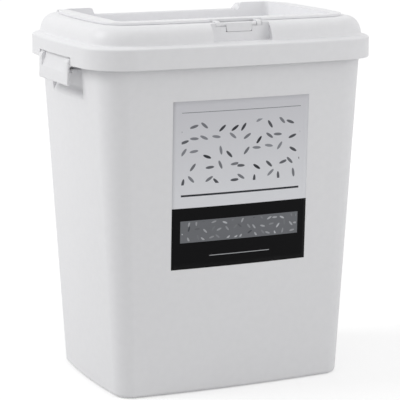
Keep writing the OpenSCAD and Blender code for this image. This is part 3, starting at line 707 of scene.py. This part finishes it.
# Walls first: round the recess, the hinge shelf, the finger recess, the latch and the troughs.
hinge, latch_axis = (HINGE_Y, HINGE_Z), (LATCH_Y, LATCH_Z)
add(lid, plug(RECESS_W + 2 * FRAME_WALL, RECESS_D + 2 * FRAME_WALL, RECESS_R + FRAME_WALL,
              RECESS_Z - FRAME_WALL, DOME_Z - FRAME_WALL / 2))
add(lid, inside_dome(block((-SHELF_HALF - FRAME_WALL, SHELF_Y + 1.5, HINGE_Z - FRAME_WALL),
                           (SHELF_HALF + FRAME_WALL, DOME_FRONT, DOME_Z))),
    inside_dome(block((-FINGER_HALF - FRAME_WALL, -DOME_FRONT, FINGER_Z - FRAME_WALL),
                      (FINGER_HALF + FRAME_WALL, FINGER_Y + FRAME_WALL, DOME_Z))),
    inside_dome(block((-HOUSING_HALF, -DOME_FRONT, HOUSING_Z), (HOUSING_HALF, HOUSING_Y, DOME_Z))))
for side in (-1, 1):
    add(lid, inside_dome(rod("X", side * (TROUGH_IN - FRAME_WALL), side * (TROUGH_OUT + TROUGH_END_T),
                             hinge, TROUGH_R + FRAME_WALL)))
# Then their hollows: shelf, finger recess, lugs and tab of the latch, recess and opening.
cut(lid, block((-SHELF_HALF, SHELF_Y, HINGE_Z), (SHELF_HALF, FAR_Y, ABOVE)),
    block((-FINGER_HALF, -FAR_Y, FINGER_Z), (FINGER_HALF, FINGER_Y, ABOVE)),
    block((-LUG_HALF, LATCH_Y, LUG_Z), (LUG_HALF, LATCH_BACK, ABOVE)),
    rod("X", -LUG_HALF, LUG_HALF, latch_axis, LATCH_Z - LUG_Z),
    block((-LUG_HALF, -FAR_Y, LATCH_Z), (LUG_HALF, LATCH_BACK, ABOVE)),
    block((-TAB_HALF, -FAR_Y, TAB_Z), (TAB_HALF, LATCH_BACK, ABOVE)),
    finger_slots(), plug(RECESS_W, RECESS_D, RECESS_R, RECESS_Z, ABOVE),
    plug(THROAT_W, THROAT_D, THROAT_R, RECESS_Z - 4, RECESS_Z + 1))
for side in (-1, 1):
    low, high = span(side, LIP_GAP_IN, LIP_GAP_OUT)
    cut(lid, rod("X", side * TROUGH_IN, side * TROUGH_OUT, hinge, TROUGH_R),
        block((low, -NOTCH_HALF, SKIRT_LOW - 1), (high, NOTCH_HALF, NOTCH_TOP)))
# The hinge rail, the latch's catch, and the clips' bosses with the bores for the pins.
add(lid, rod("X", RAIL_END_GAP - TROUGH_IN, TROUGH_IN - RAIL_END_GAP, hinge, RAIL_R),
    block((-KEEPER_HALF, KEEPER_Y, KEEPER_LOW), (KEEPER_HALF, LATCH_BACK + OVERLAP, KEEPER_HIGH)))
for side in (-1, 1):
    pin = (side * CLIP_X, CLIP_Z)
    add(lid, *[rod("Y", *span(end, BOSS_IN, BOSS_OUT), pin, BOSS_R) for end in (-1, 1)])
    cut(lid, rod("X", side * HINGE_BORE_IN, side * (TROUGH_IN + 1), hinge, HINGE_BORE_R),
        *[rod("Y", end * CLIP_BORE_IN, end * CLIP_BORE_OUT, pin, CLIP_BORE_R) for end in (-1, 1)])
soften(lid, width=0.7, segments=3)
dress(lid, polypropylene)
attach(lid, "lid")
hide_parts("lid_frame")

# ---- Seals and hinge pins ------------------------------------------------------------
# Two rings of soft extruded silicone, one over the tub's rim and one under the flip lid, and
# the short acetal pins, cut from drawn rod, on which the lids and clips turn.

SEAL_T, SEAL_GAP, SEAL_EDGE = 2.2, 0.3, 0.8
RIM_SEAL_W, FLIP_SEAL_W, SEAL_RIB = 5.4, 5.0, 1.5
SEAL_GRAIN, SEAL_DUST, PIN_MARKS, PIN_MOTTLE = 0.4, 11.11, 0.3, 4.545


def silicone():
    """Translucent pale silicone rubber with a dusty, matt skin.

    The eye sees a soft grey-white with a grain of about 0.4 mm from the cut cord and no
    sharp highlight."""
    material, tree, place = start_material("matt_silicone_rubber")
    grain = add_node(tree, "ShaderNodeTexNoise", {"Scale": 1000 / SEAL_GRAIN, "Detail": 4.0},
                     {"Vector": place})
    dust = add_node(tree, "ShaderNodeTexNoise", {"Scale": 1000 / SEAL_DUST, "Detail": 3.0},
                    {"Vector": place})
    colour = add_node(tree, "ShaderNodeValToRGB", links={"Fac": dust.outputs["Fac"]})
    darker, lighter = colour.color_ramp.elements
    darker.color, lighter.color = linear("#cfd3d7"), linear("#dfe2e4")
    return end_material(material, grain.outputs["Fac"], rough=(0.6, 0.78), bump=(0.25, 0.0001),
                        values={"IOR": 1.41, "Sheen Weight": 0.15, "Sheen Roughness": 0.5},
                        links={"Base Color": colour.outputs["Color"]})


def acetal():
    """Drawn acetal rod, off-white and slightly waxy.

    The eye sees a round, bright highlight broken by fine turning marks about 0.3 mm apart,
    and a faint mottle."""
    material, tree, place = start_material("drawn_acetal_rod")
    marks = add_node(tree, "ShaderNodeTexNoise", {"Scale": 1000 / PIN_MARKS, "Detail": 2.0},
                     {"Vector": place})
    mottle = add_node(tree, "ShaderNodeTexNoise", {"Scale": 1000 / PIN_MOTTLE, "Detail": 2.0},
                      {"Vector": place})
    colour = add_node(tree, "ShaderNodeValToRGB", links={"Fac": mottle.outputs["Fac"]})
    darker, lighter = colour.color_ramp.elements
    darker.color, lighter.color = linear("#dddfe1"), linear("#eceef0")
    return end_material(material, marks.outputs["Fac"], rough=(0.25, 0.4), bump=(0.1, 0.0001),
                        values={"IOR": 1.48}, links={"Base Color": colour.outputs["Color"]})


def seal_bead(material):
    """Tree that sweeps a flat bead with rounded edges along a closed path."""
    tree, sizes = start_form("seal_bead", {
        "Path": "Geometry", "Width": "Float", "Height": "Float", "Edge": "Float"})
    path = add_node(tree, "GeometryNodeMeshToCurve", links={"Mesh": sizes["Path"]})
    level = add_node(tree, "GeometryNodeSetCurveNormal", links={"Curve": path.outputs["Curve"]},
                     mode="Z_UP")
    section = add_node(tree, "GeometryNodeCurvePrimitiveQuadrilateral", links={
        "Width": sizes["Width"], "Height": sizes["Height"]})
    soft = add_node(tree, "GeometryNodeFilletCurve", {"Count": 5}, {
        "Curve": section.outputs["Curve"], "Radius": sizes["Edge"]}, mode="POLY")
    bead = add_node(tree, "GeometryNodeCurveToMesh", links={
        "Curve": level.outputs["Curve"], "Profile Curve": soft.outputs["Curve"]})
    return end_form(tree, bead.outputs["Mesh"], material)


bead = seal_bead(silicone())
seal_mid = SEAL_GAP + SEAL_T / 2
flip_seal_add = 2 * (SEAL_RIB + SEAL_GAP) + FLIP_SEAL_W
rim_path = [(x, y, TUB_H + seal_mid) for x, y, _ in tub_ring(TUB_H, -TUB_WALL / 2)]
flip_path = rounded(THROAT_W + flip_seal_add, THROAT_D + flip_seal_add, THROAT_R,
                    RECESS_Z + seal_mid)
for node, body, path, width in (("rim_seal", "lid", rim_path, RIM_SEAL_W),
                                ("flip_lid_seal", "flip", flip_path, FLIP_SEAL_W)):
    seal = run_form(f"{node}_ring", bead, {
        "Width": width / 1000, "Height": SEAL_T / 1000, "Edge": SEAL_EDGE / 1000}, path)
    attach(seal, body)
    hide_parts(node)

acetal_rod = acetal()
for node in ("hinge_pin_left", "hinge_pin_right", "latch_pin", "clip_pin_left_front",
             "clip_pin_left_rear", "clip_pin_right_front", "clip_pin_right_rear"):
    dress(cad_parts[node], acetal_rod)

# ---- Flip lid ------------------------------------------------------------------------
# One moulding: a flat flange on the dome's top round a sunk tray that fills the recess. Two
# fat barrels turn on the hinge pins behind; two lugs in front carry the latch.

FLANGE_LOW, FLANGE_TOP, BEAD_T = 471.2, 474.0, 0.45
FLIP_W, FLIP_D, FLIP_R, FLIP_BOW = 336.0, 222.0, 36.0, 3.7
TRAY_W, TRAY_D, TRAY_R, TRAY_Z, TRAY_T, TRAY_REAR = 299.0, 198.0, 10.5, 447.5, 2.5, 106.5
TRAY_FOOT = ((1.5, 0.0), (0.5, 0.5), (0.0, 1.6))
WELL_R, WELL_FOOT = 8.0, ((4.0, 0.0), (2.5, 0.3), (1.2, 1.2), (0.3, 2.5), (0.0, 4.0))
LATCH_GAP_HALF, LATCH_GAP_Y, LATCH_GAP_Z = 36.0, -107.5, 470.0
BARREL_R, BARREL_IN, BARREL_OUT, BARREL_BORE_OUT = 11.0, 104.5, 152.0, 124.5
REAR_EDGE_Z, REAR_EDGE_GAP = 464.1, 0.6
REAR_CORNER_R, REAR_CORNER_GAP, REAR_CORNER_END = 4.5, 2.2, 6.8
LUG_R, LUG_IN, LUG_OUT, LUG_ROOT_Y, LUG_BORE_R = 4.7, 25.0, 31.0, -107.3, 1.6
PAST_FLANGE = 140.0


def prism_y(profile, y0, y1):
    """Prism tool: an (x, z) profile drawn out along Y."""
    return loft("tool", [[(x, y, z) for x, z in profile] for y in (y0, y1)])


def flange_ring(z, inset):
    """Ring of the flip lid's flange."""
    return [(x, y, z) for x, y in outline(FLIP_W - 2 * inset, FLIP_D - 2 * inset,
                                          FLIP_R - inset, FLIP_BOW, FLIP_BOW)]


bead_low = FLANGE_LOW - BEAD_T
flange_side = ((FLANGE_LOW, 1.6), (bead_low, 1.2), (bead_low, 0.2), (FLANGE_LOW - 0.25, 0),
               (FLANGE_TOP - 1.2, 0), (FLANGE_TOP - 0.5, 0.25), (FLANGE_TOP - 0.12, 0.7),
               (FLANGE_TOP, 1.3))
flip = loft("flip_lid_tray", [flange_ring(z, inset) for z, inset in flange_side])
# The flange's gap over the latch, with a lip under its edge; then the tray, barrels and lugs.
add(flip, block((-LATCH_GAP_HALF - 1, LATCH_GAP_Y - 1.5, bead_low),
                (LATCH_GAP_HALF + 1, LATCH_GAP_Y + 1.2, FLANGE_LOW + 1)))
cut(flip, block((-LATCH_GAP_HALF, -PAST_FLANGE, LATCH_GAP_Z),
                (LATCH_GAP_HALF, LATCH_GAP_Y, FLANGE_TOP + 1)))
add(flip, loft("tool", [
    rounded(TRAY_W - 2 * inset, TRAY_D - 2 * inset, TRAY_R - inset, TRAY_Z + rise)
    for inset, rise in TRAY_FOOT] + [rounded(TRAY_W, TRAY_D, TRAY_R, FLANGE_TOP)]))
for side in (-1, 1):
    low, high = span(side, LUG_IN, LUG_OUT)
    add(flip, rod("X", side * BARREL_IN, side * BARREL_OUT, hinge, BARREL_R),
        rod("X", low, high, latch_axis, LUG_R),
        block((low, LATCH_Y, LATCH_Z - LUG_R), (high, LUG_ROOT_Y, LATCH_Z + LUG_R)))
well_w, well_d = TRAY_W - 2 * TRAY_T, TRAY_D - 2 * TRAY_T
well = [rounded(well_w - 2 * inset, well_d - 2 * inset, WELL_R - 0.75 * inset,
                TRAY_Z + TRAY_T + rise) for inset, rise in WELL_FOOT]
cut(flip, loft("tool", well + [rounded(well_w, well_d, WELL_R, FLANGE_TOP + 1)]))

# The rear wall is cut away between the barrels, over the frame's hinge rail.
rear_half = [(BARREL_IN - REAR_EDGE_GAP, REAR_EDGE_Z)]
for turn in range(0, 91, 10):
    turn = math.radians(turn)
    rear_half.append((BARREL_IN + REAR_CORNER_GAP + REAR_CORNER_R * (1 - math.cos(turn)),
                      FLANGE_TOP - REAR_CORNER_R * (1 - math.sin(turn))))
rear_half.append((BARREL_IN + REAR_CORNER_END, FLANGE_TOP + 1))
rear_notch = rear_half + [(-x, z) for x, z in rear_half[::-1]]
cut(flip, prism_y(rear_notch, TRAY_REAR - TRAY_T - 1, PAST_FLANGE),
    block((-BARREL_IN, TRAY_REAR, TRAY_Z - 1), (BARREL_IN, PAST_FLANGE, FLANGE_TOP + 1)))
# The rib that holds the seal, and the bores for the pins.
add(flip, plug(THROAT_W + 2 * SEAL_RIB, THROAT_D + 2 * SEAL_RIB, THROAT_R, TRAY_Z - 1, TRAY_Z + 0.1))
cut(flip, plug(THROAT_W, THROAT_D, THROAT_R, TRAY_Z - 2, TRAY_Z))
for side in (-1, 1):
    cut(flip, rod("X", side * (BARREL_IN - 1), side * BARREL_BORE_OUT, hinge, HINGE_BORE_R),
        rod("X", side * (LUG_IN - 1), side * (LUG_OUT + 1), latch_axis, LUG_BORE_R))
soften(flip, width=0.6, segments=3)
dress(flip, polypropylene)
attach(flip, "flip")
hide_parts("flip_lid")

# ---- Front latch ---------------------------------------------------------------------
# A small moulded tab on a barrel between the flip lid's lugs. It turns up on its pin, and its
# hook snaps under the catch in the frame's pocket.

LATCH_BARREL_END, LATCH_BARREL_R, LATCH_BORE_END, LATCH_BORE_R = 24.6, 3.2, 26.0, 1.65
TAB_W, TAB_LOW, TAB_HIGH = 34.0, 459.5, 470.0
TAB_FACE, TAB_T, TAB_MID = -122.5, 2.5, -121.25
TAB_CORNER = ((2.0, 0.0), (0.6, 0.6), (0.0, 2.0))
TAB_HOOK_HALF, TAB_HOOK_Y, TAB_HOOK_T, TAB_NECK_LOW, TAB_NECK_HIGH = 14.0, -114.0, 1.6, 1.0, 2.5

latch = rod("X", -LATCH_BARREL_END, LATCH_BARREL_END, latch_axis, LATCH_BARREL_R,
            "front_latch_tab")
tab_half = [(TAB_W / 2 - inset, TAB_LOW + rise) for inset, rise in TAB_CORNER]
tab_half.append((TAB_W / 2, TAB_HIGH))
tab_side = tab_half + [(-x, z) for x, z in tab_half[::-1]]
add(latch, prism_y(tab_side, TAB_FACE, TAB_FACE + TAB_T),
    block((-TAB_W / 2, TAB_MID, LATCH_Z - TAB_NECK_LOW), (TAB_W / 2, LATCH_Y, LATCH_Z + TAB_NECK_HIGH)),
    block((-TAB_HOOK_HALF, TAB_MID, TAB_LOW + OVERLAP),
          (TAB_HOOK_HALF, TAB_HOOK_Y, TAB_LOW + TAB_HOOK_T)))
cut(latch, rod("X", -LATCH_BORE_END, LATCH_BORE_END, latch_axis, LATCH_BORE_R))
soften(latch, width=0.5, segments=3)
dress(latch, polypropylene)
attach(latch, "latch")
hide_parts("front_latch")

# ---- Side clips ----------------------------------------------------------------------
# A moulded clip over each grip pocket. It turns on two short pins in the frame's bosses, its
# hook snaps under the tub's catch rib, and its face is scooped for the fingers.

CLIP_HALF, CLIP_FACE, CLIP_LOW, CLIP_T, CLIP_BEND = 53.0, 7.2, -27.0, 2.2, -15.0
CLIP_FOOT = ((0.0, 1.6), (0.35, 0.6), (1.0, 0.0))
EAR_W, EAR_R, HUB_R, EAR_LOW, EAR_FADE = 11.0, 7.2, 3.4, -4.5, 9.0
EAR_ROUNDING = ((0, 3), (0.15, 2.06), (0.4, 1.5), (1, 0.76), (1.8, 0.25), (3, 0), (EAR_W, 0))
SCOOP, SCOOP_END, SCOOP_LEAN, SCOOP_CURVE = 6.4, -12.5, 1.2, 1.3
HOOK_HALF, HOOK_TOP, HOOK_T, HOOK_X = 34.0, 410.7, 3.2, 187.5
BORE_IN, BORE_OUT = 44.5, 54.0


def clip_foot(face):
    """A clip's rounded lower front edge, below a face that stands out from its axis."""
    return [(face - inset, CLIP_LOW + rise) for inset, rise in CLIP_FOOT]


def clip_section():
    """Side view of a clip with its scooped face, out from and up from its axis."""
    face, back = [], []
    for k in range(SCOOP_STEPS + 1):
        t = k / SCOOP_STEPS
        z = EAR_R + (SCOOP_END - EAR_R) * t
        depth = SCOOP * (1 - t ** SCOOP_CURVE)
        face.append((CLIP_FACE - depth, z))
        back.append((CLIP_FACE - CLIP_T - depth, z - SCOOP_LEAN * t))
    inner = CLIP_FACE - CLIP_T
    return (face + [(CLIP_FACE, CLIP_BEND)] + clip_foot(CLIP_FACE)
            + [(inner, CLIP_LOW), (inner, CLIP_BEND)] + back[::-1])


def ear_section():
    """Side view of an ear: a large round face, a straight foot and a small hub on the pin."""
    ear = [(EAR_R * math.sin(math.radians(a)), EAR_R * math.cos(math.radians(a)))
           for a in range(0, 91, 6)]
    ear += clip_foot(EAR_R) + [(CLIP_FACE - CLIP_T, CLIP_LOW), (CLIP_FACE - CLIP_T, EAR_LOW)]
    for a in range(150, 355, 6):
        reach = HUB_R + (EAR_R - HUB_R) * max(0, a - 270) / 90
        ear.append((reach * math.sin(math.radians(a)), reach * math.cos(math.radians(a))))
    return ear


def ear_end(x, z, drawn):
    """An ear's point drawn in towards the axis, for its rounded outer end."""
    above = min(1, max(0, 1 + z / EAR_FADE))
    return x - drawn * above * max(0, x / EAR_R), z - drawn * max(0, z / EAR_R)


def clip(name, side):
    """A clip on the right (1) or left (-1) side."""
    face_half = CLIP_HALF - EAR_W + OVERLAP
    made = loft(name, [[(side * (CLIP_X + x), y, CLIP_Z + z) for x, z in clip_section()]
                       for y in (-face_half, face_half)])
    ears = []
    for end in (-1, 1):
        sections = []
        for inset, drawn in EAR_ROUNDING:
            ear = [ear_end(x, z, drawn) for x, z in ear_section()]
            sections.append([(side * (CLIP_X + x), end * (CLIP_HALF - inset), CLIP_Z + z)
                             for x, z in ear])
        ears.append(loft("tool", sections))
    low, high = span(side, HOOK_X, CLIP_X + CLIP_FACE - CLIP_T + OVERLAP)
    add(made, *ears, block((low, -HOOK_HALF, HOOK_TOP - HOOK_T), (high, HOOK_HALF, HOOK_TOP)))
    cut(made, *[rod("Y", end * BORE_IN, end * BORE_OUT, (side * CLIP_X, CLIP_Z), CLIP_BORE_R)
                for end in (-1, 1)])
    return soften(made, width=1.0, segments=3)


for body, side in (("clip_left", -1), ("clip_right", 1)):
    piece = clip(f"{body}_moulding", side)
    dress(piece, polypropylene)
    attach(piece, body)
    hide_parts(f"side_{body}")

# ---- Studio --------------------------------------------------------------------------
# A pale sweep of floor, a large soft lamp from the left and behind, one from above, a fill
# from the right, and even light all round. The camera looks down on the front and left side.

FLOOR_R, FLOOR_LOW, FLOOR_TOP = 9000.0, -4.0, -0.4
LAMP_AIM = Vector((0, 0, 0.25))
WORLD_LIGHT, STIPPLE = 0.62, 2.0
LENS, SENSOR, SHIFT_Y, CLIP_END = 165.125, 36.0, 0.0037, 50.0
CAMERA_PLACE, CAMERA_TURN = (-0.9636, -2.1712, 0.6872), (78.9515, 0.027, -23.9636)


def seen_directly(tree):
    """1 for rays from the camera and those mirrored or let through by the object, else 0."""
    rays = add_node(tree, "ShaderNodeLightPath")
    seen = rays.outputs["Is Camera Ray"]
    for other in ("Is Glossy Ray", "Is Transmission Ray"):
        seen = add_node(tree, "ShaderNodeMath", links={0: seen, 1: rays.outputs[other]},
                        operation="MAXIMUM").outputs["Value"]
    return seen


def pale_floor():
    """Matt painted floor, plain, with a faint roller stipple 2 mm across.

    Seen directly it is lifted to white, more so far away, and keeps the object's shadow."""
    material, tree, place = start_material("matt_painted_floor")
    stipple = add_node(tree, "ShaderNodeTexNoise", {"Scale": 1000 / STIPPLE, "Detail": 2.0},
                       {"Vector": place})
    bump = add_node(tree, "ShaderNodeBump", {"Strength": 0.05, "Distance": 0.0002},
                    {"Height": stipple.outputs["Fac"]})
    paint = add_node(tree, "ShaderNodeBsdfDiffuse", {"Color": linear("#d2d2d2")},
                     {"Normal": bump.outputs["Normal"]})
    reach = add_node(tree, "ShaderNodeVectorMath", links={0: place}, operation="LENGTH")
    white = add_node(tree, "ShaderNodeMapRange", {
        "From Min": 0.4, "From Max": 2.0, "To Min": 0.48, "To Max": 0.63},
        {"Value": reach.outputs["Value"]}, interpolation_type="SMOOTHSTEP")
    lift = add_node(tree, "ShaderNodeMath", links={0: seen_directly(tree), 1: white.outputs["Result"]},
                    operation="MULTIPLY")
    glow = add_node(tree, "ShaderNodeEmission", links={"Strength": lift.outputs["Value"]})
    both = add_node(tree, "ShaderNodeAddShader", links={
        0: paint.outputs["BSDF"], 1: glow.outputs["Emission"]})
    add_node(tree, "ShaderNodeOutputMaterial", links={"Surface": both.outputs["Shader"]})
    return material


floor = loft("studio_floor", [circle(FLOOR_R, z, count=96) for z in (FLOOR_LOW, FLOOR_TOP)])
dress(floor, pale_floor())


def soft_lamp(name, place, size, power):
    """A square softbox, size metres wide, turned towards the object."""
    data = bpy.data.lights.new(name, "AREA")
    data.shape = "SQUARE"
    data.size = size
    data.energy = power
    lamp = bpy.data.objects.new(name, data)
    lamp.location = place
    lamp.rotation_euler = (LAMP_AIM - Vector(place)).to_track_quat("-Z", "Y").to_euler()
    bpy.context.scene.collection.objects.link(lamp)


soft_lamp("left_softbox", (-2.2, 0.7, 1.9), size=1.2, power=23.5)
soft_lamp("top_softbox", (0.3, -0.2, 2.8), size=1.6, power=6.7)
soft_lamp("right_fill", (1.9, -2.0, 0.9), size=1.5, power=10.5)

world = bpy.data.worlds.new("even_studio_light")
world.use_nodes = True
bpy.context.scene.world = world
sky = world.node_tree
sky.nodes.clear()
around = add_node(sky, "ShaderNodeBackground", {"Color": (1, 1, 1, 1), "Strength": WORLD_LIGHT})
backdrop = add_node(sky, "ShaderNodeBackground", {"Color": (1, 1, 1, 1), "Strength": 1.0})
mixed = add_node(sky, "ShaderNodeMixShader", links={
    0: seen_directly(sky), 1: around.outputs["Background"], 2: backdrop.outputs["Background"]})
add_node(sky, "ShaderNodeOutputWorld", links={"Surface": mixed.outputs["Shader"]})

lens = bpy.data.cameras.new("front_left_camera")
lens.lens = LENS
lens.sensor_width = SENSOR
lens.shift_y = SHIFT_Y
lens.clip_end = CLIP_END
camera = bpy.data.objects.new("front_left_camera", lens)
camera.location = CAMERA_PLACE
camera.rotation_euler = [math.radians(a) for a in CAMERA_TURN]
bpy.context.scene.collection.objects.link(camera)
bpy.context.scene.camera = camera
bpy.context.scene.view_settings.view_transform = "Standard"
